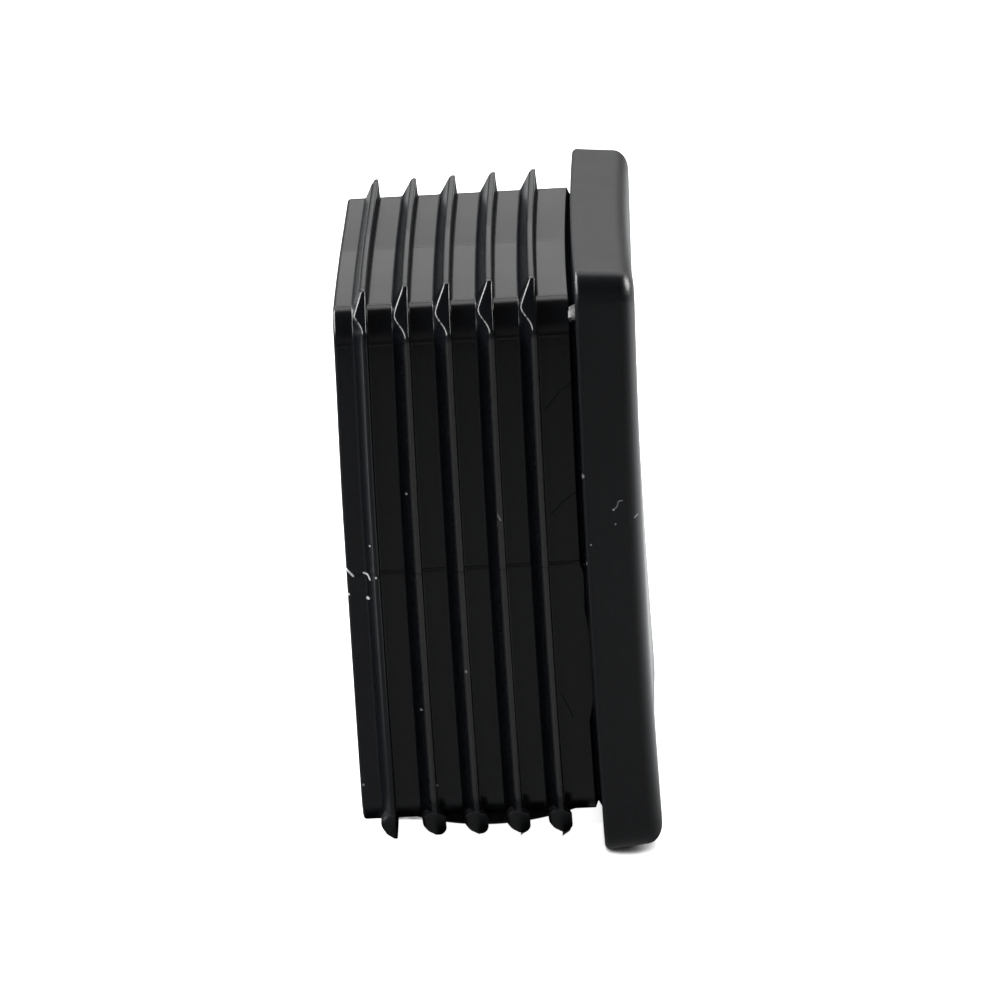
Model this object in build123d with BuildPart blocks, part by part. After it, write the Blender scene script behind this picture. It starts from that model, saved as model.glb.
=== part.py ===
"""Square ribbed end cap: one polyethylene moulding that closes a 50 mm box tube.

The cap lies along X. The origin is the middle of the seat, the plane on which the
head meets the end of the tube. The head reaches toward +X, and the hollow plug
toward -X, with its mouth at the leading end. Y runs across, and Z is up.
"""
from build123d import *
import os

os.makedirs("parts", exist_ok=True)

# ---- driving dimensions, in millimetres and degrees -------------------------------

# Head: covers the end of the tube, flush with its outer walls.
head_width = 50.0
head_thickness = 5.0
head_corner_radius = 2.5
head_draft = 5.0
head_face_edge_radius = 1.4
head_seat_edge_radius = 0.3

# Plug: the hollow stem that goes into the tube.
plug_width = 44.5
plug_length = 19.9
plug_corner_radius = 2.9
plug_wall = 2.0
plug_lead_edge_radius = 0.3

# Hollow: open at the leading end, closed by a floor inside the head.
floor_thickness = 3.0
hollow_draft = 0.75
hollow_floor_radius = 1.0
hollow_mouth_radius = 0.4

# Fins: barbs with a long slope leading and a steep back, bent over as the plug goes in.
fin_count = 5
fin_to_seat = 3.24
fin_to_leading_end = 2.63
fin_height = 1.7
fin_height_step = 0.07
fin_crest_width = 0.36
fin_lead_run = 1.0
fin_back_run = 0.08
fin_root_sink = 0.1
fin_corner_cut_across = 3.7
fin_corner_cut_up = 3.5

# Relief: a narrow groove at the root of the plug, which lets the head seat square.
relief_width = 0.55
relief_depth = 0.6

# ---- sizes that follow ------------------------------------------------------------

plug_half = plug_width / 2
fin_pitch = (plug_length - fin_to_seat - fin_to_leading_end) / (fin_count - 1)
hollow_depth = plug_length + head_thickness - floor_thickness

# The slopes of a fin end just below the plug's sides, so its foot runs straight round the corners.
fin_root_half = plug_half - fin_root_sink


def make_fin(number):
    """One fin, counted from the seat. Its section is run both ways and crossed, for mitred corners."""
    crest_half = plug_half + fin_height - number * fin_height_step
    crest_middle = -fin_to_seat - number * fin_pitch
    crest_lead = crest_middle - fin_crest_width / 2
    crest_back = crest_middle + fin_crest_width / 2
    root_drop = (crest_half - fin_root_half) / fin_height
    root_lead = crest_lead - fin_lead_run * root_drop
    root_back = crest_back + fin_back_run * root_drop

    with BuildPart() as blade:
        for plane, mode in ((Plane.XZ, Mode.ADD), (Plane.XY, Mode.INTERSECT)):
            with BuildSketch(plane):
                with BuildLine():
                    Polyline(
                        (root_lead, 0),
                        (root_lead, fin_root_half),
                        (crest_lead, crest_half),
                        (crest_back, crest_half),
                        (root_back, fin_root_half),
                        (root_back, 0),
                    )
                    mirror(about=Plane.XZ)
                make_face()
            extrude(amount=crest_half, both=True, mode=mode)

        with BuildSketch(Plane.YZ.offset(root_lead)):
            with BuildLine():
                Polyline(
                    (0, crest_half),
                    (crest_half - fin_corner_cut_across, crest_half),
                    (crest_half, crest_half - fin_corner_cut_up),
                    (crest_half, 0),
                )
                mirror(about=Plane.YZ)
                mirror(about=Plane.XZ)
            make_face()
        extrude(amount=root_back - root_lead, mode=Mode.INTERSECT)
    return blade.part


# ---- hollow: the space that the mould's core leaves --------------------------------

with BuildPart() as hollow:
    with BuildSketch(Plane.YZ.offset(-plug_length)):
        RectangleRounded(plug_width, plug_width, plug_corner_radius)
        offset(amount=-plug_wall, mode=Mode.REPLACE)
    extrude(amount=hollow_depth, taper=hollow_draft)
    fillet(hollow.faces().sort_by(Axis.X)[-1].edges(), hollow_floor_radius)

# ---- the cap ----------------------------------------------------------------------

with BuildPart() as end_cap:
    # Head: its sides lean in toward the outer face, which has a well rounded edge.
    with BuildSketch(Plane.YZ):
        RectangleRounded(head_width, head_width, head_corner_radius)
    extrude(amount=head_thickness, taper=head_draft)
    fillet(end_cap.faces().sort_by(Axis.X)[-1].edges(), head_face_edge_radius)
    fillet(end_cap.faces().sort_by(Axis.X)[0].edges(), head_seat_edge_radius)

    # Plug: from the seat to the leading end.
    with BuildSketch(Plane.YZ):
        RectangleRounded(plug_width, plug_width, plug_corner_radius)
    extrude(amount=-plug_length)
    fillet(end_cap.faces().sort_by(Axis.X)[0].edges(), plug_lead_edge_radius)

    # Relief: a ring cut out of the plug where it leaves the seat.
    with BuildSketch(Plane.YZ):
        RectangleRounded(plug_width, plug_width, plug_corner_radius)
        offset(amount=-relief_depth, mode=Mode.SUBTRACT)
    extrude(amount=-relief_width, mode=Mode.SUBTRACT)

    # Fins: the tallest stands nearest to the seat.
    for number in range(fin_count):
        add(make_fin(number))

    # Hollow, with its mouth eased.
    add(hollow.part, mode=Mode.SUBTRACT)
    leading_face = end_cap.faces().filter_by(Plane.YZ).sort_by(Axis.X)[0]
    fillet(leading_face.inner_wires()[0].edges(), hollow_mouth_radius)

end_cap.part.label = "end_cap"
export_step(end_cap.part, "parts/end_cap.step")
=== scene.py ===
import math

import bpy
import numpy as np
from bpy.props import FloatProperty, FloatVectorProperty, IntProperty, PointerProperty
from bpy.types import Operator, Panel, PropertyGroup
from mathutils import Matrix, Vector


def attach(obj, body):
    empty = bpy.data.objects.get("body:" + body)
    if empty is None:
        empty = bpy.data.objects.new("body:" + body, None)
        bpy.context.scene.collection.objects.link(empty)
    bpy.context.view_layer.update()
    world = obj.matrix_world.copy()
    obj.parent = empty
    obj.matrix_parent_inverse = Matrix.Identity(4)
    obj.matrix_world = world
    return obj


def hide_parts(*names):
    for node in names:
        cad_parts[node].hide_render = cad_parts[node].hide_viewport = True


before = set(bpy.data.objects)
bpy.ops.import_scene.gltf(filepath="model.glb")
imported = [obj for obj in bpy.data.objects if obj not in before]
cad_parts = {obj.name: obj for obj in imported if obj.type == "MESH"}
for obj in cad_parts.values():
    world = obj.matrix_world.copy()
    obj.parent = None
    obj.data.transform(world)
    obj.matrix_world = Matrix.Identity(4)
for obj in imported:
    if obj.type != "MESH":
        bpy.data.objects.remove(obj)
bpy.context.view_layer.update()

bl_info = {
    "name": "Square tube end cap",
    "version": (1, 0, 0),
    "blender": (4, 5, 0),
    "location": "3D View > Sidebar > End Cap",
    "description": "Makes a moulded end cap with barbed fins, and a plain studio to see it in",
    "category": "Add Mesh",
}

MM = 0.001
PIECE = "cap_moulding"

# The largest share of a side of the section that a rounding may take from it at one end.
MOST_ROUNDED = 0.48
# A column belongs to a corner where the product of the parts of its normal passes this.
CORNER_LIMIT = 1e-6

# The fins' corners as moulded, in millimetres, shares and powers. The lower corners and the
# leading fin differ a little from the rest.
MITRE_POWER = 24
TOP_POWER = 100
LOWER_CUT_LESS = 0.5
LEADING_CUT_LESS_ACROSS = 0.8
LEADING_CUT_LESS_UP = 0.6
BULGE_SHARE = 0.9
LEADING_BULGE_SHARE = 0.75
MOST_BULGE = 0.95
LOWER_BULGE = 0.36
LOWER_SPREAD = 0.7
SPREAD_DROP = 0.9
CREST_SHIFT = 0.03
TOP_LEAD_SHIFT = 0.15
LEAD_SHIFT = 0.02
FOOT_SHARE = 1.08
LEADING_FOOT_SHARE = 0.84

# The groove at the seat: the turns of the normal over which its web rises and falls, in degrees
# from the front, and the heights over which it is nearly closed, in millimetres.
WEB_AT_SEAT = ((21.0, 24.0), (52.0, 49.0))
WEB_AT_EDGE = ((26.0, 29.0), (44.0, 41.0))
FRONT_OF_PLUG = (-21.6, -22.2)
HALF_CLOSED = ((-0.2, -0.9), (-4.6, -4.0))
HALF_CLOSED_SHARE = 0.62
CLOSED = ((-4.0, -4.6), (-13.8, -13.2))
MOST_CLOSED = 0.97
FRONT_SHALLOWER = 0.35
GROOVE_RECESS = 0.15
SEAT_EDGE_RECESS = 0.08
GROOVE_NARROWEST = 0.2
FOOT_FROM_SEAT = 0.08
WEB_RAWNESS = 0.9
WEB_AT_SEAT_HEIGHT = 0.44
WEB_AT_FOOT_HEIGHT = 0.19

# How matt the fins' steep sides and the lower ends of their long slopes are where they face Z.
STEEP_SIDE_MATT = 0.8
SLOPE_MIDDLE_MATT = 0.5

# How much fuller than its radius the seat edge's round is.
SEAT_ROUND_FULLER = 1.3

# Marks that the mould leaves on the plug's walls, in millimetres.
SINK = 0.05
SINK_HALF = 11
SEAM = 0.012
SEAM_ON_Y_SIDES = 0.02
SEAM_WIDTH = 0.08
SHOULDER = 0.0175
SHOULDER_START = 18.35
CORNER_SHOULDER = 0.1

# How the cap warps as it cools, in millimetres and shares.
DISH = 0.293
DISH_PER_LENGTH = 0.010
UPPER_LIFT = 0.12
FAR_CORNER_LIFT = 0.16

# Paler colour on the fins' crests: a painted highlight for the light their rounded edges catch.
CREST_HIGHLIGHT_COLOUR = (0.022, 0.022, 0.023, 1.0)
MARK_COLOUR = (0.62, 0.63, 0.66, 1.0)
SCRATCH_HALF_WIDTH = 0.08
SCRATCH_CORE = 0.01

# The rows of fins as the floor's material meets them, in metres.
LAST_FIN = 0.01727
FIN_PITCH = 0.0035075


# ---- settings -----------------------------------------------------------------------


def length(name, description, millimetres):
    """A property that holds a length."""
    return FloatProperty(
        name=name,
        description=description,
        default=millimetres * MM,
        min=0.0,
        precision=5,
        unit="LENGTH",
    )


def degrees(name, description, value):
    """A property that holds an angle."""
    return FloatProperty(
        name=name,
        description=description,
        default=math.radians(value),
        subtype="ANGLE",
    )


class CapSizes(PropertyGroup):
    """Sizes of the moulding. They are the sizes that its solid was made to."""

    head_width: length("Head width", "Width of the square head", 50.0)
    head_thickness: length("Head thickness", "From the seat to the outer face", 5.0)
    head_corner_radius: length("Head corner radius", "Radius of the head's four corners", 2.5)
    head_draft: degrees("Head draft", "How far the head's sides lean in", 5.0)
    head_face_edge_radius: length("Outer edge radius", "Rounding of the outer face's edge", 1.4)
    head_seat_edge_radius: length("Seat edge radius", "Rounding of the seat's edge", 0.3)

    plug_width: length("Plug width", "Width of the plug between its fins", 44.5)
    plug_length: length("Plug length", "From the seat to the leading end", 19.9)
    plug_corner_radius: length("Plug corner radius", "Radius of the plug's four corners", 2.9)
    plug_wall: length("Wall", "Thickness of the plug's wall at its mouth", 2.0)
    plug_lead_edge_radius: length("Leading edge radius", "Rounding of the leading end", 0.3)

    floor_thickness: length("Floor thickness", "Plastic between the hollow and the outer face", 3.0)
    hollow_draft: degrees("Hollow draft", "How far the hollow narrows inward", 0.75)
    hollow_floor_radius: length("Hollow floor radius", "Rounding round the hollow's floor", 1.0)
    hollow_mouth_radius: length("Mouth radius", "Rounding of the hollow's mouth", 0.4)

    fin_count: IntProperty(name="Fins", description="Number of barbed fins", default=5, min=1)
    fin_to_seat: length("Fin to seat", "From the seat to the first fin's crest", 3.24)
    fin_to_leading_end: length("Fin to end", "From the last fin's crest to the end", 2.63)
    fin_height: length("Fin height", "Height of the fin nearest to the seat", 1.7)
    fin_height_step: length("Height step", "How much lower each next fin is", 0.07)
    fin_crest_width: length("Crest width", "Width of a fin's flat crest", 0.36)
    fin_lead_run: length("Lead run", "Length of a fin's long slope", 1.0)
    fin_back_run: length("Back run", "Length of a fin's steep side", 0.08)
    fin_corner_cut_across: length("Corner cut across", "Corner cut, along Y", 3.7)
    fin_corner_cut_up: length("Corner cut up", "Corner cut, along Z", 3.5)

    relief_width: length("Relief width", "Width of the groove at the seat", 0.55)
    relief_depth: length("Relief depth", "Depth of the groove at the seat", 0.6)


class PlasticFinish(PropertyGroup):
    """Finish of the black polyethylene."""

    colour: FloatVectorProperty(
        name="Colour",
        description="Colour of the plastic",
        subtype="COLOR",
        size=3,
        default=(0.0041, 0.0048, 0.0065),
        min=0.0,
        max=1.0,
    )
    plug_roughness: FloatProperty(
        name="Plug roughness",
        description="Roughness of the plug, which comes off polished steel",
        default=0.2,
        min=0.0,
        max=1.0,
        subtype="FACTOR",
    )
    head_roughness: FloatProperty(
        name="Head roughness",
        description="Roughness of the satin head",
        default=0.36,
        min=0.0,
        max=1.0,
        subtype="FACTOR",
    )
    refraction: FloatProperty(
        name="IOR",
        description="Index of refraction, which sets how strongly the plastic shines",
        default=1.5,
        min=1.0,
        max=2.0,
    )


class StudioSettings(PropertyGroup):
    """Camera, floor and light."""

    camera_rise: degrees("Camera rise", "How far the camera looks down", 15.4)
    camera_turn: degrees("Camera turn", "How far the camera looks to one side", -1.263)
    camera_roll: degrees("Camera roll", "How far the picture leans", -3.343)
    camera_distance: length("Camera distance", "From the camera to its target", 620.0)
    camera_target: FloatVectorProperty(
        name="Camera target",
        description="The point that the camera looks at",
        subtype="TRANSLATION",
        size=3,
        default=(-0.007289, 0.0, -0.000465),
    )
    camera_lens: FloatProperty(
        name="Lens",
        description="Focal length in millimetres for a 36 mm sensor",
        default=259.38,
        subtype="DISTANCE_CAMERA",
    )
    overhead_radiance: FloatProperty(
        name="Overhead light",
        description="Brightness of the softbox above the cap",
        default=1.35,
        min=0.0,
    )
    side_radiance: FloatProperty(
        name="Side lights",
        description="Brightness of the softboxes beside the cap",
        default=11.0,
        min=0.0,
    )
    room_brightness: FloatProperty(
        name="Room brightness",
        description="Brightness of the studio's walls as they light the cap",
        default=0.25,
        min=0.0,
    )
    wall_brightness: FloatProperty(
        name="Wall brightness",
        description="Brightness of the white wall behind the cap, as the plastic mirrors it",
        default=1.42,
        min=0.0,
    )
    front_brightness: FloatProperty(
        name="Front brightness",
        description="Brightness of the shaded side of the studio, as the plastic mirrors it",
        default=0.15,
        min=0.0,
    )


# ---- surfaces -----------------------------------------------------------------------


def perimeter_columns(flat_steps, corner_steps):
    """The columns of the grid, once round the axis from the lower end of the side that faces +Y.

    Each column has a skeleton point K on the square of half width 1 and an outward normal N:
    on side s, whose normal is N_s = (cos 90s, sin 90s) and tangent T_s = (-sin 90s, cos 90s),
    K = N_s + t T_s for t from -1 to 1 and N = N_s. In the corner after it K = N_s + T_s, and
    N = (cos(90s + a), sin(90s + a)) for a from 0 to 90 degrees.
    """
    skeleton, normals = [], []
    for side in range(4):
        start = side * math.pi / 2
        normal = np.array((math.cos(start), math.sin(start)))
        tangent = np.array((-math.sin(start), math.cos(start)))
        skeleton.append(normal + flat_steps[:, None] * tangent)
        normals.append(np.repeat(normal[None], len(flat_steps), axis=0))
        turn = start + corner_steps
        skeleton.append(np.repeat((normal + tangent)[None], len(turn), axis=0))
        normals.append(np.stack((np.cos(turn), np.sin(turn)), axis=1))
    return np.concatenate(skeleton), np.concatenate(normals)


def spread_steps(inner, growth, reach, longest):
    """Steps from 0 to reach. The first is inner long, and each next growth times that, up to longest."""
    steps = [0.0]
    stride = inner
    while steps[-1] + stride < reach:
        steps.append(steps[-1] + stride)
        stride = min(stride * growth, longest)
    steps.append(reach)
    return np.array(steps)


def rounded(before, corner, after, setback, count):
    """A corner of the section, rounded in every column at once.

    before, corner and after are (4, columns) arrays of x, skeleton size, offset and rawness. With
    P and Q the points that lie setback from the corner B towards its neighbours, and w the sine of
    half the angle there, the points are
    ((1-s)^2 P + 2 s (1-s) w B + s^2 Q) / ((1-s)^2 + 2 s (1-s) w + s^2)
    for s from 0 to 1, which is an arc of a circle.
    """
    first, last = before - corner, after - corner
    first_length = np.linalg.norm(first[:3], axis=0)
    last_length = np.linalg.norm(last[:3], axis=0)
    reach = np.minimum(setback, MOST_ROUNDED * np.minimum(first_length, last_length))
    first, last = first / first_length, last / last_length
    start, end = corner + first * reach, corner + last * reach
    weight = np.sqrt(np.clip((1 - np.sum(first[:3] * last[:3], axis=0)) / 2, 0.0, 1.0))
    s = np.linspace(0.0, 1.0, count)[:, None, None]
    ease_in, middle, ease_out = (1 - s) ** 2, 2 * s * (1 - s) * weight, s**2
    points = ease_in * start + middle * corner + ease_out * end
    return list(points / (ease_in + middle + ease_out))


def along(start, end, fractions):
    """Stations between two others: start + f (end - start) for each fraction f."""
    return [start + fraction * (end - start) for fraction in fractions]


def soft_min(first, second, width):
    """The smaller of two arrays a and b, blended over a width w.

    It is m - w log(exp((m - a) / w) + exp((m - b) / w)) with m = min(a, b).
    """
    lower = np.minimum(first, second)
    total = np.exp((lower - first) / width) + np.exp((lower - second) / width)
    return lower - width * np.log(total)


def bell(values, middle, width):
    """A hump of height 1: exp(-((v - middle) / width)^2)."""
    return np.exp(-(((values - middle) / width) ** 2))


def closed_mesh(name, rings, first_pole, last_pole):
    """A closed skin over a grid of rings, (rows, columns, 3), with a fan of triangles at each pole."""
    rows, columns = rings.shape[:2]
    points = np.concatenate((rings.reshape(-1, 3), first_pole[None], last_pole[None]))
    row, column = np.meshgrid(np.arange(rows - 1), np.arange(columns), indexing="ij")
    beside = (column + 1) % columns
    quads = np.stack(
        (
            row * columns + column,
            (row + 1) * columns + column,
            (row + 1) * columns + beside,
            row * columns + beside,
        ),
        axis=-1,
    ).reshape(-1, 4)
    around = np.arange(columns)
    onward = (around + 1) % columns
    top_row = (rows - 1) * columns
    first_fan = np.stack((np.full(columns, rows * columns), around, onward), axis=1)
    last_pole_index = np.full(columns, rows * columns + 1)
    last_fan = np.stack((last_pole_index, top_row + onward, top_row + around), axis=1)

    mesh = bpy.data.meshes.new(name)
    corners = np.concatenate((quads.ravel(), first_fan.ravel(), last_fan.ravel())).astype(np.int32)
    sides = np.concatenate((np.full(len(quads), 4), np.full(2 * columns, 3)))
    starts = np.concatenate(([0], np.cumsum(sides)[:-1])).astype(np.int32)
    mesh.vertices.add(len(points))
    mesh.vertices.foreach_set("co", points.astype(np.float32).ravel())
    mesh.loops.add(len(corners))
    mesh.loops.foreach_set("vertex_index", corners)
    mesh.polygons.add(len(sides))
    mesh.polygons.foreach_set("loop_start", starts)
    mesh.polygons.foreach_set("use_smooth", np.ones(len(sides), dtype=bool))
    mesh.update(calc_edges=True)
    mesh.validate()
    return mesh


def ramp(values, low, high):
    """0 at low and 1 at high, which may be the smaller: t^2 (3 - 2t), t the clamped share of the way."""
    t = np.clip((values - low) / (high - low), 0.0, 1.0)
    return t * t * (3 - 2 * t)


def between(values, rise, fall):
    """1 between two ramps, each given as its two ends."""
    return ramp(values, *rise) * ramp(values, *fall)


def fin_stations(sizes, number, normals, core):
    """The four corners of one fin's section in every column, counted from the seat, and the cut's share.

    With c the plug's skeleton size, |Ny|, |Nz| the parts of a column's normal and m the larger of
    them, (|Ny|^24 + |Nz|^24)^(1/24), h the crest's half width, and a, b the corner cuts along Y and
    Z, the crest's offset is the smaller of the mitred square, (h - c) / m, and the cut,
    (b (h - a) + a h - (a + b) c) / (b |Ny| + a |Nz|).
    On the cut the long slope starts further toward the leading end, by the smaller of two bulges:
    the slope times the drop below the crest along Z, and a smooth step of the drop along Y. At the
    lower corners the first bulge has a step of its own added, and the crest also widens toward the
    seat, by 0.7 sqrt(s (2 - s)) times a smooth step of the drop along Y, where s is the clamped
    share of the drop along Z. The lower cuts are marked rougher, and the crests on the sides that
    face Y get a paler colour, which is a painted highlight.
    """
    half = sizes["plug_width"] / 2 + sizes["fin_height"] - number * sizes["fin_height_step"]
    radius = sizes["plug_corner_radius"]
    gaps = sizes["fin_count"] - 1
    leading = number == gaps
    pitch = (sizes["plug_length"] - sizes["fin_to_seat"] - sizes["fin_to_leading_end"]) / gaps
    middle = -sizes["fin_to_seat"] - number * pitch
    half_crest = sizes["fin_crest_width"] / 2

    side_y, side_z = np.abs(normals[:, 0]), np.abs(normals[:, 1])
    corner = side_y * side_z > CORNER_LIMIT
    mitre = (side_y**MITRE_POWER + side_z**MITRE_POWER) ** (1 / MITRE_POWER)
    larger = np.where(corner, mitre, 1.0)
    below = np.where(normals[:, 1] < 0, 1.0, 0.0)
    facing = side_y**MITRE_POWER
    upright = side_z**TOP_POWER

    across = sizes["fin_corner_cut_across"] - LOWER_CUT_LESS * below
    across = across - (LEADING_CUT_LESS_ACROSS if leading else 0.0)
    up = sizes["fin_corner_cut_up"] - (LEADING_CUT_LESS_UP if leading else LOWER_CUT_LESS * below)
    square = (half - core) / larger
    cut = up * (half - across) + across * half - (across + up) * core
    cut = cut / (up * side_y + across * side_z)
    crest = np.where(corner, soft_min(square, cut, 0.02 + 0.10 * side_y**4), half - core)
    cut_share = ramp(square - cut, 0.0, 0.3) * corner

    drop_z = np.maximum(half - (core + crest * side_z), 0.0)
    drop_y = np.maximum(half - (core + crest * side_y), 0.0)
    bulge_share = LEADING_BULGE_SHARE if leading else BULGE_SHARE
    slope = sizes["fin_lead_run"] / sizes["fin_height"] * bulge_share
    rise = slope * drop_z + LOWER_BULGE * below * ramp(drop_z, -0.1, 0.5)
    step = MOST_BULGE * ramp(drop_y, 0.1, 1.7 - 0.8 * below)
    bulge = np.maximum(np.where(corner, soft_min(rise, step, 0.03), 0.0), 0.0)
    share = np.clip(drop_z / SPREAD_DROP, 0.0, 1.0)
    spread = LOWER_SPREAD * below * corner * np.sqrt(share * (2 - share)) * ramp(drop_y, 0.1, 0.8)
    if leading:
        spread = 0.0

    lead = middle - half_crest - LEAD_SHIFT - TOP_LEAD_SHIFT * upright
    back = middle + half_crest - CREST_SHIFT + spread + CREST_SHIFT * facing
    foot = middle - half_crest - sizes["fin_lead_run"] * (LEADING_FOOT_SHARE if leading else FOOT_SHARE)
    heel = back - spread + 2 * sizes["fin_back_run"] * upright
    # Rawness: rougher on the lower cuts, and 0.5 on the crests that face Y, which paints them paler as a
    # painted highlight.
    torn_and_highlight = np.maximum(cut_share * below, 0.0 if leading else 0.5 * facing)

    none = np.zeros_like(crest)
    cores, roots = none + core, none + radius
    corners = (
        np.stack((none + foot, cores, roots, none)),
        np.stack((lead - bulge, cores, crest, torn_and_highlight)),
        np.stack((back, cores, crest, torn_and_highlight)),
        np.stack((heel, cores, roots, none)),
    )
    return corners, cut_share


def edge_setbacks(leading, normals, cut_share):
    """How far a fin's edges are rounded in every column, as setbacks in millimetres.

    At the long slope it is 0.12 + 0.03 |Nz|^16 + 0.06 |Ny|^24, and 0.2 |Nz|^16 more on the leading
    fin. At the steep side it is 0.11 + 0.07 |Ny|^24, and at the slope's foot 0.13 - 0.4 (Ny Nz)^2.
    With q the corner cut's share and b = 1 + 0.28 sin(2.4 i) sin(0.83 i + 1) for column i, the cut
    adds (0.1 + 0.08 Ny^2) q b to the first and 0.06 q b to the second, so that it looks torn.
    """
    side_y, side_z = np.abs(normals[:, 0]), np.abs(normals[:, 1])
    order = np.arange(len(normals))
    beads = 1 + 0.28 * np.sin(2.4 * order) * np.sin(0.83 * order + 1.0)
    facing = side_y**24
    lead = 0.12 + 0.03 * side_z**16 + 0.06 * facing + (0.1 + 0.08 * side_y**2) * cut_share * beads
    if leading:
        lead = lead + 0.2 * side_z**16
    back = 0.11 + 0.07 * facing + 0.06 * cut_share * beads
    foot = 0.13 - 0.4 * (side_y * side_z) ** 2
    return lead, back, foot


def seat_groove(places, normals):
    """How the groove at the seat runs, in every column, from its place (y, z) and its normal.

    Returns the web's share at the seat and at the plug's edge, which is 1 where the web closes the
    groove in the front upper corner, how far the groove is open, and how deep it is there. All are
    products of smooth steps in the turn of the normal, in y and in z.
    """
    y, z = places[:, 0], places[:, 1]
    turn = np.degrees(np.arctan2(normals[:, 1], -normals[:, 0]))
    front = ramp(y, *FRONT_OF_PLUG)
    closed = np.maximum(between(z, *HALF_CLOSED) * HALF_CLOSED_SHARE, between(z, *CLOSED))
    web_seat, web_edge = between(turn, *WEB_AT_SEAT), between(turn, *WEB_AT_EDGE)
    return web_seat, web_edge, 1 - MOST_CLOSED * front * closed, 1 - FRONT_SHALLOWER * front


def mould_marks(x, size, skeleton, normals):
    """How far the skin of the plug's walls stands off its nominal place, in millimetres.

    With t the distance along a side from its middle, each half side sinks by
    0.05 (1 - ((|t| - 11) / 11)^2), which leaves a low ridge between the halves. A seam of depth
    (0.012 + 0.02 Ny^2) exp(-(t / 0.08)^2) runs down the ridge.
    The sides that face Y also fall away by 0.0175 s^2 toward their corners, s going from 0 to 1
    over the last 1 mm, and the corners by Ny^2 (0.0175 + 0.1 |Nz|).
    """
    side_y, side_z = np.abs(normals[:, 0]), np.abs(normals[:, 1])
    flat = side_y * side_z < CORNER_LIMIT
    t = np.where(side_y > 0.5, skeleton[:, 1], skeleton[:, 0]) * size
    sink = SINK * np.maximum(1 - ((np.abs(t) - SINK_HALF) / SINK_HALF) ** 2, 0.0)
    seam = (SEAM + SEAM_ON_Y_SIDES * side_y**2) * bell(t, 0.0, SEAM_WIDTH)
    reach = np.where(flat, np.clip(np.abs(t) - SHOULDER_START, 0.0, 1.0), 1.0)
    shoulder = side_y**2 * (SHOULDER * reach**2 + CORNER_SHOULDER * np.where(flat, 0.0, side_z))
    on_walls = ramp(x, -0.6, -1.1) * ramp(size, 19.0, 19.2)
    return -(np.where(flat, sink + seam, 0.0) + shoulder) * on_walls


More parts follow.
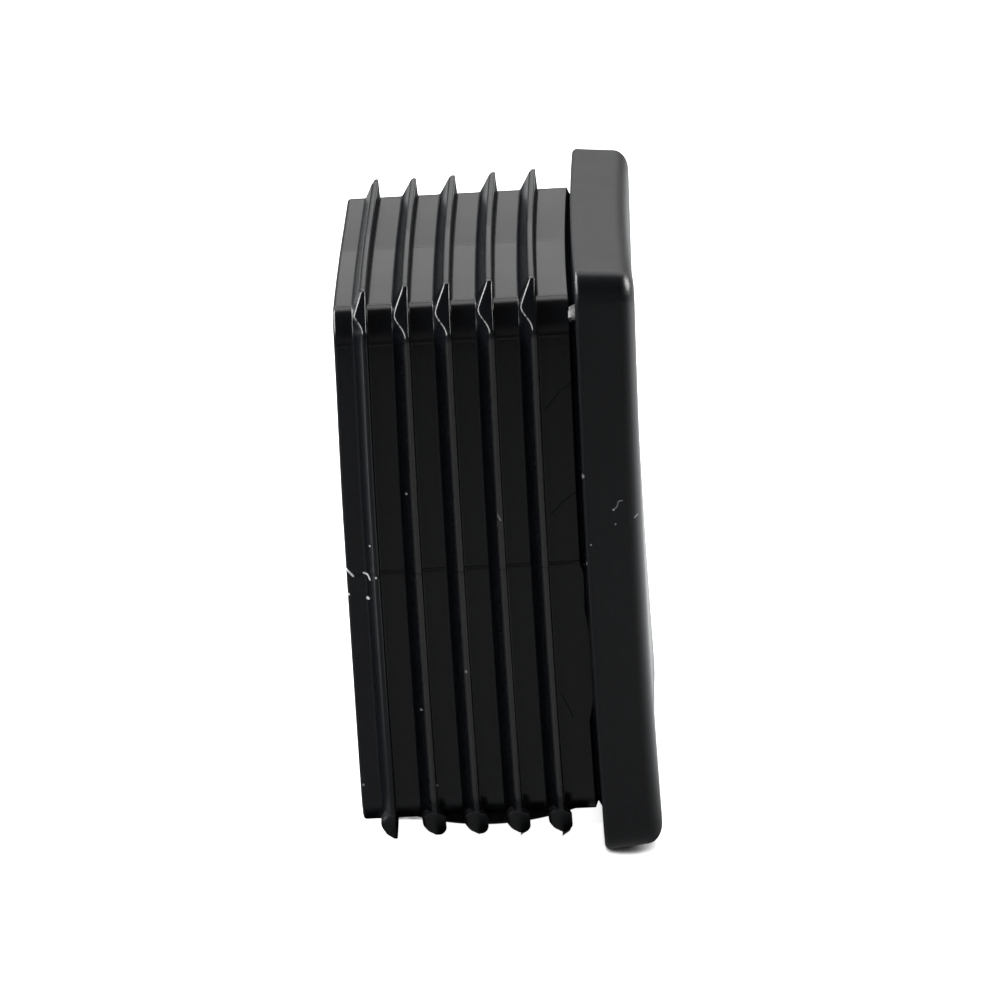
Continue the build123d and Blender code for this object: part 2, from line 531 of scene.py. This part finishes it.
def cap_surface(sizes):
    """The whole skin of the cap, in rings from the middle of its outer face to the hollow's floor.

    A point is (x, c K + r N): its station gives x, the skeleton's half width c and the offset r,
    and its column gives K and N. Returns rings (rows, columns, 3) in millimetres, both poles, and
    the rawness at each point: above 0 it is rougher, between 0.38 and 0.7 its colour is paler, a
    painted highlight, and below 0 it is matt.
    """
    half_flat = spread_steps(inner=0.0012, growth=1.9, reach=0.985, longest=0.1)
    half_flat = np.concatenate((half_flat, (0.990, 0.995, 1.0)))
    flat_steps = np.concatenate((-half_flat[::-1], half_flat[1:]))
    corner_steps = np.radians(np.linspace(0.0, 90.0, 65)[1:-1])
    skeleton, normals = perimeter_columns(flat_steps, corner_steps)
    columns = len(skeleton)

    def station(x, half, radius, raw=0.0):
        """A ring of the given half width and corner radius."""
        return np.stack([np.full(columns, value) for value in (x, half - radius, radius, raw)])

    head_half = sizes["head_width"] / 2
    thickness = sizes["head_thickness"]
    head_lean = thickness * math.tan(sizes["head_draft"])
    corner = sizes["head_corner_radius"]
    face_middle = station(thickness, 0.02 * head_half, 0.02 * corner)
    face_edge = station(thickness, head_half - head_lean, corner - head_lean)
    seat_edge = station(SEAT_EDGE_RECESS, head_half, corner)

    plug_half, radius = sizes["plug_width"] / 2, sizes["plug_corner_radius"]
    core = plug_half - radius
    depth, width = sizes["relief_depth"], sizes["relief_width"]
    places = core * skeleton + radius * normals
    web_seat, web_edge, open_share, open_depth = seat_groove(places, normals)
    cores, none = np.full(columns, core), np.zeros(columns)
    groove_raw = (web_seat - WEB_RAWNESS) * open_share
    groove_depth = depth * open_share * open_depth * (1 - web_seat)
    groove_width = width * (GROOVE_NARROWEST + (1 - GROOVE_NARROWEST) * open_share)
    relief_seat = np.stack((
        none + GROOVE_RECESS,
        cores,
        radius + WEB_AT_SEAT_HEIGHT * web_seat,
        groove_raw,
    ))
    relief_foot = np.stack((
        GROOVE_RECESS - FOOT_FROM_SEAT - 0.22 * open_share - 0.06 * web_edge,
        cores,
        radius - groove_depth + WEB_AT_FOOT_HEIGHT * web_seat,
        groove_raw,
    ))
    relief_edge = np.stack((
        GROOVE_RECESS - groove_width - 0.07 * web_edge,
        cores,
        none + radius,
        none,
    ))

    end = -sizes["plug_length"]
    wall = sizes["plug_wall"]
    lead_edge = station(end, plug_half, radius)
    mouth_edge = station(end, plug_half - wall, radius - wall, 0.5)
    hollow_depth = sizes["plug_length"] + thickness - sizes["floor_thickness"]
    shrink = hollow_depth * math.tan(sizes["hollow_draft"])
    floor_x = end + hollow_depth
    floor_edge = station(floor_x, plug_half - wall - shrink, radius - wall - shrink, 1.0)
    floor_middle = station(floor_x, 0.4, 0.02, 1.0)

    face_round = sizes["head_face_edge_radius"] / math.tan((math.pi / 2 + sizes["head_draft"]) / 2)
    seat_round = SEAT_ROUND_FULLER * sizes["head_seat_edge_radius"]
    seat_round = seat_round / math.tan((math.pi / 2 - sizes["head_draft"]) / 2)
    hold = (0.03, 0.5, 0.97)

    stations = along(face_middle, face_edge, (0.0, 0.08, 0.2, 0.35, 0.5, 0.65, 0.8, 0.9))
    face_arc = rounded(face_middle, face_edge, seat_edge, face_round, 12)
    seat_arc = rounded(face_edge, seat_edge, relief_seat, seat_round, 6)
    stations += along(stations[-1], face_arc[0], (0.6, 0.97))
    stations += face_arc
    stations += along(face_arc[-1], seat_arc[0], (0.02, 0.25, 0.5, 0.75, 0.98))
    stations += seat_arc
    stations += along(seat_arc[-1], relief_seat, (0.03, 0.5))
    stations += rounded(seat_arc[-1], relief_seat, relief_foot, 0.07, 4)
    groove_round = 0.06
    stations += rounded(relief_seat, relief_foot, relief_edge, groove_round, 4)

    side_z = np.abs(normals[:, 1])
    previous_edge = relief_foot
    pending = relief_edge
    previous_setback = groove_round
    for number in range(sizes["fin_count"]):
        leading = number == sizes["fin_count"] - 1
        corners, cut_share = fin_stations(sizes, number, normals, core)
        root_lead, crest_lead, crest_back, root_back = corners
        lead_setback, back_setback, foot_setback = edge_setbacks(leading, normals, cut_share)
        first_arc = rounded(previous_edge, pending, root_back, previous_setback, 5)
        stations += first_arc
        back_foot = rounded(pending, root_back, crest_back, 0.14, 5)
        stations += along(first_arc[-1], back_foot[0], hold)
        stations += back_foot
        back_edge = rounded(root_back, crest_back, crest_lead, back_setback, 6)
        lead_edge_arc = rounded(crest_back, crest_lead, root_lead, lead_setback, 7)
        back_face = along(back_foot[-1], back_edge[0], (0.04, 0.96))
        for row in back_face:
            row[3] -= STEEP_SIDE_MATT * side_z
        stations += back_face
        stations += back_edge
        stations += along(back_edge[-1], lead_edge_arc[0], (0.5,))
        stations += lead_edge_arc
        away = root_lead - crest_lead
        reach = np.minimum(foot_setback / np.linalg.norm(away[:3], axis=0), MOST_ROUNDED)
        flank = along(lead_edge_arc[-1], root_lead - away * reach, (0.04, 0.5, 0.96))
        if not leading:
            flank[1][3] -= SLOPE_MIDDLE_MATT * side_z
            flank[2][3] -= side_z
        stations += flank
        previous_edge = crest_lead
        pending = root_lead
        previous_setback = foot_setback
    foot = rounded(previous_edge, pending, lead_edge, previous_setback, 4)
    stations += foot
    end_arc = rounded(pending, lead_edge, mouth_edge, sizes["plug_lead_edge_radius"], 6)
    stations += along(foot[-1], end_arc[0], hold)
    stations += end_arc
    mouth_arc = rounded(lead_edge, mouth_edge, floor_edge, sizes["hollow_mouth_radius"], 7)
    stations += along(end_arc[-1], mouth_arc[0], hold)
    stations += mouth_arc
    floor_ring = station(floor_x, 10.0, 0.05, 1.0)
    floor_arc = rounded(mouth_edge, floor_edge, floor_ring, sizes["hollow_floor_radius"], 8)
    stations += along(mouth_arc[-1], floor_arc[0], (0.01, 0.2, 0.4, 0.6, 0.8, 0.98))
    stations += floor_arc
    stations += along(floor_arc[-1], floor_middle, (0.03, 0.3, 0.6, 0.9, 1.0))

    rings = np.stack(stations)
    x, size, offset, raw = rings[:, 0], rings[:, 1], rings[:, 2], rings[:, 3]
    offset = offset + mould_marks(x, size, skeleton, normals)
    crossing = size[..., None] * skeleton + offset[..., None] * normals
    points = np.concatenate((x[..., None], crossing), axis=-1)
    poles = np.array(((thickness, 0.0, 0.0), (floor_x, 0.0, 0.0)))
    return points, poles, raw


def warp(points):
    """Leaves the cap as the cooling mould does.

    x gains (0.293 + 0.01 x) ((y^2 + z^2) / 25^2 - 1), so that the sides dish. Near the leading end
    the upper part gains 0.12 more, and up to 0.16 on top of that toward its far corner, each by
    smooth steps of x, y and z.
    """
    x, y, z = points[..., 0], points[..., 1], points[..., 2]
    spread = (y**2 + z**2) / 25.0**2 - 1
    moved = points.copy()
    upper = ramp(z, 5.0, 20.0)
    lift = UPPER_LIFT * upper * ramp(x, -12.5, -14.5)
    far_lift = FAR_CORNER_LIFT * upper * ramp(y, -18.0, 24.0) * ramp(x, -12.5, -18.0)
    moved[..., 0] = x + (DISH + DISH_PER_LENGTH * x) * spread
    moved[..., 0] += lift + far_lift
    return moved


# ---- shader nodes -------------------------------------------------------------------


class Value:
    """An output socket that takes part in Python expressions: each operator adds a Math node."""

    def __init__(self, maker, socket):
        self.maker = maker
        self.socket = socket

    def _math(self, operation, first, second=None):
        inputs = {0: first}
        if second is not None:
            inputs[1] = second
        return self.maker.node("ShaderNodeMath", {"operation": operation}, inputs)

    def __add__(self, other):
        return self._math("ADD", self, other)

    def __radd__(self, other):
        return self._math("ADD", other, self)

    def __sub__(self, other):
        return self._math("SUBTRACT", self, other)

    def __rsub__(self, other):
        return self._math("SUBTRACT", other, self)

    def __mul__(self, other):
        return self._math("MULTIPLY", self, other)

    def __rmul__(self, other):
        return self._math("MULTIPLY", other, self)

    def size(self):
        """The value without its sign."""
        return self._math("ABSOLUTE", self)

    def modulo(self, other):
        """What is left of the value after whole steps."""
        return self._math("FLOORED_MODULO", self, other)

    def larger(self, other):
        """The larger of two values."""
        return self._math("MAXIMUM", self, other)

    def smaller(self, other):
        """The smaller of two values."""
        return self._math("MINIMUM", self, other)

    def rise(self, low, high):
        """0 below low and 1 above high, with a smooth rise between. low may be above high."""
        return self.maker.node(
            "ShaderNodeMapRange",
            {"interpolation_type": "SMOOTHSTEP"},
            {"Value": self, "From Min": low, "From Max": high, "To Min": 0.0, "To Max": 1.0},
        )


class NodeMaker:
    """Adds nodes to one tree."""

    def __init__(self, tree):
        self.tree = tree
        tree.nodes.clear()

    def node(self, kind, settings=None, inputs=None, output=0):
        """A node with its settings made first, then its sockets filled or linked. Returns one output."""
        made = self.tree.nodes.new(kind)
        for name, value in (settings or {}).items():
            setattr(made, name, value)
        for key, value in (inputs or {}).items():
            socket = made.inputs[key]
            if isinstance(value, Value):
                self.tree.links.new(value.socket, socket)
            else:
                socket.default_value = value
        if not made.outputs:
            return None
        return Value(self, made.outputs[output])

    def vector(self, operation, first, second=None, output="Vector", **more):
        """A Vector Math node."""
        inputs = {0: first}
        if second is not None:
            inputs[1] = second
        inputs.update(more)
        return self.node("ShaderNodeVectorMath", {"operation": operation}, inputs, output)

    def mix_colour(self, factor, first, second):
        """Two colours mixed by a factor."""
        return self.node(
            "ShaderNodeMix",
            {"data_type": "RGBA"},
            {"Factor": factor, "A": first, "B": second},
            "Result",
        )


# ---- plastic ------------------------------------------------------------------------


def black_plastic(finish):
    """Moulded black polyethylene: a satin head, a glossier plug, and the marks of handling."""
    material = bpy.data.materials.new("black_polyethylene_moulding")
    material.use_nodes = True
    nodes = NodeMaker(material.node_tree)

    place = nodes.vector(
        "SCALE",
        nodes.node("ShaderNodeTexCoord", output="Object"),
        Scale=1 / MM,
    )
    axes = nodes.node("ShaderNodeSeparateXYZ", inputs={0: place})
    along_axis = Value(nodes, axes.socket.node.outputs["X"])
    on_head = along_axis.rise(-0.15, 0.05)

    grain = nodes.node(
        "ShaderNodeTexNoise",
        inputs={"Vector": place, "Scale": 3.2, "Detail": 4.0, "Roughness": 0.6},
    )
    cloud = nodes.node(
        "ShaderNodeTexNoise",
        inputs={"Vector": place, "Scale": 0.16, "Detail": 3.0, "Roughness": 0.55},
    )
    fine = nodes.node(
        "ShaderNodeTexNoise",
        inputs={"Vector": place, "Scale": 7.0, "Detail": 2.0, "Roughness": 0.7},
    )
    rough = finish.plug_roughness + on_head * (finish.head_roughness - finish.plug_roughness)
    raw = nodes.node("ShaderNodeAttribute", {"attribute_name": "rawness"}, output="Fac")
    rough = rough + (cloud - 0.5) * 0.10 + (grain - 0.5) * 0.05 + raw.larger(0.0) * 0.2

    tone = (cloud - 0.5) * 0.5 + (grain - 0.5) * 0.3 + (fine - 0.5) * 1.2 + 0.5
    dark = tuple(0.6 * part for part in finish.colour) + (1.0,)
    light = tuple(1.4 * part for part in finish.colour) + (1.0,)
    colour = nodes.mix_colour(tone, dark, light)
    # Rawness of about 0.5 marks a crest, whose paler colour is a painted highlight. The hollow's is
    # higher.
    torn_and_highlight = raw.rise(0.38, 0.48) * raw.rise(0.7, 0.52)
    colour = nodes.mix_colour(torn_and_highlight, colour, CREST_HIGHLIGHT_COLOUR)

    flecks, scratches = handling_marks(nodes, place)
    height = grain * (0.3 + on_head * 0.7) + cloud * 0.6 + fine * (1.6 + on_head * 1.6)
    height = height + flecks * 2.0
    bump = nodes.node(
        "ShaderNodeBump",
        inputs={"Strength": 0.35, "Distance": 0.00001, "Height": height},
    )

    plastic = nodes.node(
        "ShaderNodeBsdfPrincipled",
        inputs={
            "Base Color": nodes.mix_colour(flecks, colour, MARK_COLOUR),
            "Roughness": rough,
            "IOR": finish.refraction,
            "Normal": bump,
        },
    )
    torn = nodes.node("ShaderNodeBsdfDiffuse", inputs={"Color": colour})
    matt = (raw.rise(0.0, -1.0) * 0.93).larger(scratches * 0.8)
    surface = nodes.node("ShaderNodeMixShader", inputs={0: matt, 1: plastic, 2: torn})
    nodes.node("ShaderNodeOutputMaterial", inputs={"Surface": surface})
    return material


# Where the front is marked, as (x, z) in millimetres: specks with a radius and a strength, strokes
# from one place to another with a half width and a strength, and hairline scratches as bent rows.
SPECKS = (
    ((-19.84, -1.79), 0.15, 0.9),
    ((-18.23, -2.14), 0.17, 1.0),
    ((-17.78, 2.55), 0.09, 0.7),
    ((-17.41, -0.10), 0.12, 0.6),
    ((-14.49, 6.81), 0.11, 0.5),
    ((-14.35, -11.84), 0.12, 0.4),
    ((-10.42, -8.57), 0.14, 0.3),
    ((-19.61, -18.44), 0.13, 0.3),
    ((-13.44, -18.81), 0.11, 0.3),
    ((0.16, 8.03), 0.20, 0.3),
    ((0.55, 2.16), 0.09, 0.4),
    ((0.05, 0.53), 0.16, 0.3),
    ((-0.11, -0.34), 0.14, 0.25),
    ((2.66, 3.77), 0.10, 0.3),
    ((2.56, 5.02), 0.11, 0.5),
)
STROKES = (
    ((-19.91, 0.42), (-19.36, -0.21), 0.11, 1.0),
    ((-18.48, 0.01), (-18.15, -0.07), 0.09, 1.0),
    ((-18.14, -0.03), (-17.96, -0.43), 0.09, 0.9),
    ((2.56, 5.02), (2.86, 5.26), 0.06, 0.3),
    ((2.86, 5.26), (3.01, 5.70), 0.06, 0.25),
    ((3.01, 5.72), (3.34, 5.75), 0.06, 0.25),
    ((4.29, 4.19), (4.51, 4.40), 0.09, 0.4),
    ((5.20, -5.82), (5.75, -5.46), 0.07, 0.6),
    ((-7.04, 4.80), (-6.80, 4.35), 0.06, 0.3),
)
SCRATCHES = (
    ((-0.34, 6.09), (-1.40, 5.40), (-2.68, 4.15)),
    ((-0.35, 15.42), (-1.50, 14.55), (-2.59, 13.16)),
    ((-2.60, -11.45), (-2.15, -12.40), (-1.75, -13.50)),
    ((-17.00, 0.10), (-0.35, 0.10)),
)


def from_stroke(nodes, place, start, end):
    """Distance from a stroke from a to b in the plane y = 0.

    It is |p - a - s (b - a)|, where s is the share of the way along the stroke, clamped.
    """
    first = (start[0], 0.0, start[1])
    span = (end[0] - start[0], 0.0, end[1] - start[1])
    away = nodes.vector("SUBTRACT", place, first)
    share = nodes.vector("DOT_PRODUCT", away, span, "Value") * (1 / (span[0] ** 2 + span[2] ** 2))
    share = share.larger(0.0).smaller(1.0)
    nearest = nodes.vector("SCALE", span, Scale=share)
    return nodes.vector("LENGTH", nodes.vector("SUBTRACT", away, nearest), output="Value")


def handling_marks(nodes, place):
    """Pale specks and strokes on the front, and hairline scratches: two masks from 0 to 1."""
    flat_place = nodes.vector("MULTIPLY", place, (1.0, 0.0, 1.0))
    axes = nodes.node("ShaderNodeSeparateXYZ", inputs={0: place})
    on_front = Value(nodes, axes.socket.node.outputs["Y"]).rise(-21.0, -21.5)
    flecks = on_front * 0.0
    for (x, z), radius, strength in SPECKS:
        distance = nodes.vector("DISTANCE", flat_place, (x, 0.0, z), "Value")
        flecks = flecks.larger(distance.rise(radius, 0.6 * radius) * strength)
    for start, end, radius, strength in STROKES:
        distance = from_stroke(nodes, flat_place, start, end)
        flecks = flecks.larger(distance.rise(radius, 0.5 * radius) * strength)
    scratches = on_front * 0.0
    for row in SCRATCHES:
        for start, end in zip(row, row[1:]):
            distance = from_stroke(nodes, flat_place, start, end)
            scratches = scratches.larger(distance.rise(SCRATCH_HALF_WIDTH, SCRATCH_CORE))
    return flecks * on_front, scratches * on_front


def floor_material():
    """The studio's floor, which answers each kind of ray in its own way.

    To the camera it is white, less a painted shade close to the cap and a painted shadow under the
    plug, a dark patch whose edge runs in lobes at the fins. To glossy rays it has a dimmer brightness
    that changes with the place, with painted shade where the cap touches and in front of it, and a
    lighter strip at the lower end of each fin, a painted reflection for those ends. To the rest it is
    pale.
    """
    material = bpy.data.materials.new("studio_floor")
    material.use_nodes = True
    nodes = NodeMaker(material.node_tree)
    paths = nodes.node("ShaderNodeLightPath")
    rays = paths.socket.node.outputs
    seen = Value(nodes, rays["Is Camera Ray"]) + Value(nodes, rays["Is Transmission Ray"])
    glossy = Value(nodes, rays["Is Glossy Ray"])
    place = nodes.node("ShaderNodeTexCoord", output="Object")
    axes = nodes.node("ShaderNodeSeparateXYZ", inputs={0: place})
    outputs = axes.socket.node.outputs
    across, away = Value(nodes, outputs["X"]), Value(nodes, outputs["Y"])

    # What glossy rays meet, painted: a painted shade where the cap touches, a dimmer painted shade in
    # front of it than behind, and a painted strip that the fins' lower ends reflect.
    aside = ((across + 0.0075).size() - 0.0125).larger(0.0)
    beyond = (away.size() - 0.0205).larger(0.0)
    contact = (aside * aside + beyond * beyond).rise(0.0, 0.00001)
    lit = ((across + 0.007).size() + (away + 0.03).larger(0.0) * 0.9).rise(0.02, 0.09)
    side = across.rise(-0.02, 0.04) * away.rise(-0.12, -0.03) * 1.4 + away.rise(-0.05, 0.02) * 0.7
    side = side * (1 - away.rise(0.08, 0.2) * 0.72)
    ahead = away.rise(-0.205, -0.19) * (across.rise(0.004, 0.02) * 0.11 + 0.19) + 0.03
    past_fin = (across + LAST_FIN).modulo(FIN_PITCH)
    # Painted reflection: a lighter strip that only glossy rays meet, under each fin's lower end, which
    # those ends mirror.
    painted_tip_strip = away.rise(-0.0228, -0.0215) * away.rise(-0.0175, -0.019) * past_fin.rise(0.0022, 0.0024)
    painted_tip_strip = painted_tip_strip * 0.1

    # What the camera sees: a painted shadow under the plug, with lobes at the fins, and a painted shade
    # near the cap.
    in_plug = across.rise(-0.0202, -0.0196) * across.rise(0.002, 0.0) * away.rise(0.022, 0.02)
    middle = across + 0.0105
    edge = away + 0.0168 - middle * middle * 70.0
    lobe = away.rise(-0.0200, -0.0176) * 0.00074 - 0.0001 - past_fin
    lobes = lobe.rise(-0.0001, 0.0) * across.rise(-0.0157, -0.0155)
    # Painted shadow: the floor's white is taken away under the plug, up to an edge that runs in lobes at
    # the fins.
    under = edge.rise(-0.0001, 0.0001).larger(lobes)
    nearness = nodes.node("ShaderNodeAmbientOcclusion", {"samples": 8}, {"Distance": 0.002}, "AO")
    open_front = away.rise(-0.0155, -0.0160) * across.rise(0.0005, 0.0)
    closeness = nearness.rise(0.2, 0.6).larger(open_front) * (1 - under * in_plug)
    pale = nodes.node("ShaderNodeBsdfDiffuse", inputs={"Color": (0.8, 0.8, 0.8, 1.0)})
    white = nodes.node(
        "ShaderNodeEmission",
        inputs={"Color": (1.0, 1.0, 1.0, 1.0), "Strength": closeness},
    )
    bright = nodes.node("ShaderNodeAddShader", inputs={0: pale, 1: white})
    mirrored = nodes.node(
        "ShaderNodeEmission",
        inputs={"Color": (0.97, 0.99, 1.0, 1.0), "Strength": contact * (ahead + lit * side) + painted_tip_strip},
    )
    unseen = nodes.node("ShaderNodeMixShader", inputs={0: glossy, 1: pale, 2: mirrored})
    surface = nodes.node("ShaderNodeMixShader", inputs={0: seen, 1: unseen, 2: bright})
    nodes.node("ShaderNodeOutputMaterial", inputs={"Surface": surface})
    return material


# ---- operators ----------------------------------------------------------------------


class ENDCAP_OT_moulding(Operator):
    """Make the cap as one closed skin, from its outer face to the floor of its hollow"""

    bl_idname = "endcap.moulding"
    bl_label = "Cap moulding"
    bl_options = {"REGISTER", "UNDO"}

    def execute(self, context):
        group = context.scene.endcap_sizes
        angles = ("head_draft", "hollow_draft")
        sizes = {name: getattr(group, name) for name in CapSizes.__annotations__}
        for name in sizes:
            if name not in angles and name != "fin_count":
                sizes[name] = sizes[name] / MM
        points, poles, raw = cap_surface(sizes)
        points, poles = warp(points), warp(poles)
        mesh = closed_mesh(PIECE, points * MM, poles[0] * MM, poles[1] * MM)
        rawness = mesh.attributes.new("rawness", "FLOAT", "POINT")
        rawness.data.foreach_set("value", np.concatenate((raw.ravel(), (0.0, 1.0))).astype(np.float32))
        piece = bpy.data.objects.new(PIECE, mesh)
        context.scene.collection.objects.link(piece)
        mesh.materials.append(black_plastic(context.scene.endcap_finish))
        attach(piece, "root")
        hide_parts("end_cap")
        return {"FINISHED"}


class ENDCAP_OT_studio(Operator):
    """Make the floor, the lights, the white surroundings and the camera"""

    bl_idname = "endcap.studio"
    bl_label = "Studio"
    bl_options = {"REGISTER", "UNDO"}

    def execute(self, context):
        settings = context.scene.endcap_studio
        self.make_floor(context)
        self.make_surroundings(context, settings)
        self.make_lights(context, settings)
        self.make_camera(context, settings)
        context.scene.view_settings.view_transform = "Standard"
        return {"FINISHED"}

    def make_floor(self, context):
        """A flat sheet under the cap, which lies on its head's edge and its last fin.

        It is z = zh + (x - xh) (zf - zh) / (xf - xh), with (xh, zh) on the head and (xf, zf) on
        the fin.
        """
        head_x, head_z = 0.3, -24.97
        fin_x, fin_z = -17.3, -23.67
        farthest = 1500.0
        slope = (fin_z - head_z) / (fin_x - head_x)
        across = np.linspace(-1.0, 1.0, 21)
        reach = farthest * np.sign(across) * np.abs(across) ** 2
        x, y = np.meshgrid(reach, reach, indexing="ij")
        z = head_z + slope * (x - head_x)
        points = np.stack((x, y, z), axis=-1).reshape(-1, 3) * MM
        count = len(reach)
        row, column = np.meshgrid(np.arange(count - 1), np.arange(count - 1), indexing="ij")
        start = (row * count + column).ravel()
        faces = np.stack((start, start + count, start + count + 1, start + 1), axis=1)
        mesh = bpy.data.meshes.new("studio_floor")
        mesh.from_pydata(points.tolist(), [], faces.tolist())
        mesh.materials.append(floor_material())
        floor = bpy.data.objects.new("studio_floor", mesh)
        context.scene.collection.objects.link(floor)

    def make_surroundings(self, context, settings):
        """White where the camera sees it, and an even, quieter room as it lights the cap.

        The plastic mirrors a wall behind the cap and a dim front, both shaded by height.
        """
        world = bpy.data.worlds.new("studio_surroundings")
        context.scene.world = world
        world.use_nodes = True
        nodes = NodeMaker(world.node_tree)
        paths = nodes.node("ShaderNodeLightPath")
        rays = paths.socket.node.outputs
        camera = Value(nodes, rays["Is Camera Ray"]) + Value(nodes, rays["Is Transmission Ray"])
        glossy = Value(nodes, rays["Is Glossy Ray"])
        direction = nodes.node("ShaderNodeTexCoord", output="Generated")
        axes = nodes.node("ShaderNodeSeparateXYZ", inputs={0: direction})
        outputs = axes.socket.node.outputs
        sideways, backward, upward = (Value(nodes, outputs[name]) for name in "XYZ")
        back = (backward + sideways * sideways * 0.5).rise(-0.25, 0.15)
        wall = settings.wall_brightness * upward.rise(0.13, 0.36) * (1 - upward.rise(0.34, 0.42) * 0.5)
        wall = wall * upward.rise(0.53, 0.45) + 0.04
        front = settings.front_brightness * upward.rise(0.02, 0.09)
        front = front * (1 - upward.rise(0.1, 0.62) * 0.9) + 0.022
        mirrored = back * wall + (1 - back) * front
        seen = camera.smaller(1.0)
        unseen = glossy * mirrored + (1 - glossy) * settings.room_brightness
        strength = seen + (1 - seen) * unseen
        light = nodes.node(
            "ShaderNodeBackground",
            inputs={"Color": (1.0, 1.0, 1.0, 1.0), "Strength": strength},
        )
        nodes.node("ShaderNodeOutputWorld", inputs={"Surface": light})

    def make_lights(self, context, settings):
        """A softbox above and behind the cap, and one on each side of it."""
        overhead, side = settings.overhead_radiance, settings.side_radiance
        self.softbox(context, "overhead_softbox", (0.0, 0.526, 0.603), (0.7, 0.33), overhead)
        self.softbox(context, "left_softbox", (-0.64, 0.14, 0.46), (1.05, 0.32), side)
        self.softbox(context, "right_softbox", (0.66, 0.31, 0.33), (0.4, 0.36), side)

    def softbox(self, context, name, place, size, radiance):
        """A rectangular lamp that faces the cap. Its power is pi times its radiance times its area."""
        lamp = bpy.data.lights.new(name, "AREA")
        lamp.shape = "RECTANGLE"
        lamp.size, lamp.size_y = size
        lamp.energy = radiance * math.pi * size[0] * size[1]
        made = bpy.data.objects.new(name, lamp)
        made.location = place
        made.rotation_euler = Vector(place).to_track_quat("Z", "Y").to_euler()
        context.scene.collection.objects.link(made)

    def make_camera(self, context, settings):
        """A long lens at the given rise, turn and roll, looking at its target."""
        rise, turn, roll = settings.camera_rise, settings.camera_turn, settings.camera_roll
        flat = math.cos(rise)
        ahead = Vector((math.sin(turn) * flat, math.cos(turn) * flat, -math.sin(rise)))
        level = Vector((math.cos(turn), -math.sin(turn), 0.0))
        upward = level.cross(ahead)
        right = level * math.cos(roll) + upward * math.sin(roll)
        above = upward * math.cos(roll) - level * math.sin(roll)
        data = bpy.data.cameras.new("studio_camera")
        data.lens = settings.camera_lens
        data.sensor_width = 36.0
        data.clip_start, data.clip_end = 0.01, 20.0
        camera = bpy.data.objects.new("studio_camera", data)
        context.scene.collection.objects.link(camera)
        turned = Matrix((right, above, -ahead)).transposed().to_4x4()
        place = Vector(settings.camera_target) - ahead * settings.camera_distance
        camera.matrix_world = Matrix.Translation(place) @ turned
        context.scene.camera = camera


class ENDCAP_PT_panel(Panel):
    """The add-on's panel"""

    bl_idname = "ENDCAP_PT_panel"
    bl_label = "Square tube end cap"
    bl_space_type = "VIEW_3D"
    bl_region_type = "UI"
    bl_category = "End Cap"

    def draw(self, context):
        layout = self.layout
        for operator in (ENDCAP_OT_moulding, ENDCAP_OT_studio):
            layout.operator(operator.bl_idname)
        scene = context.scene
        for group in (scene.endcap_sizes, scene.endcap_finish, scene.endcap_studio):
            box = layout.box()
            for name in type(group).__annotations__:
                box.prop(group, name)


CLASSES = (
    CapSizes,
    PlasticFinish,
    StudioSettings,
    ENDCAP_OT_moulding,
    ENDCAP_OT_studio,
    ENDCAP_PT_panel,
)


def register():
    for made in CLASSES:
        bpy.utils.register_class(made)
    bpy.types.Scene.endcap_sizes = PointerProperty(type=CapSizes)
    bpy.types.Scene.endcap_finish = PointerProperty(type=PlasticFinish)
    bpy.types.Scene.endcap_studio = PointerProperty(type=StudioSettings)


def unregister():
    del bpy.types.Scene.endcap_studio
    del bpy.types.Scene.endcap_finish
    del bpy.types.Scene.endcap_sizes
    for made in reversed(CLASSES):
        bpy.utils.unregister_class(made)


def main():
    """Makes the cap and its studio."""
    register()
    bpy.ops.endcap.studio()
    bpy.ops.endcap.moulding()


if __name__ == "__main__":
    main()
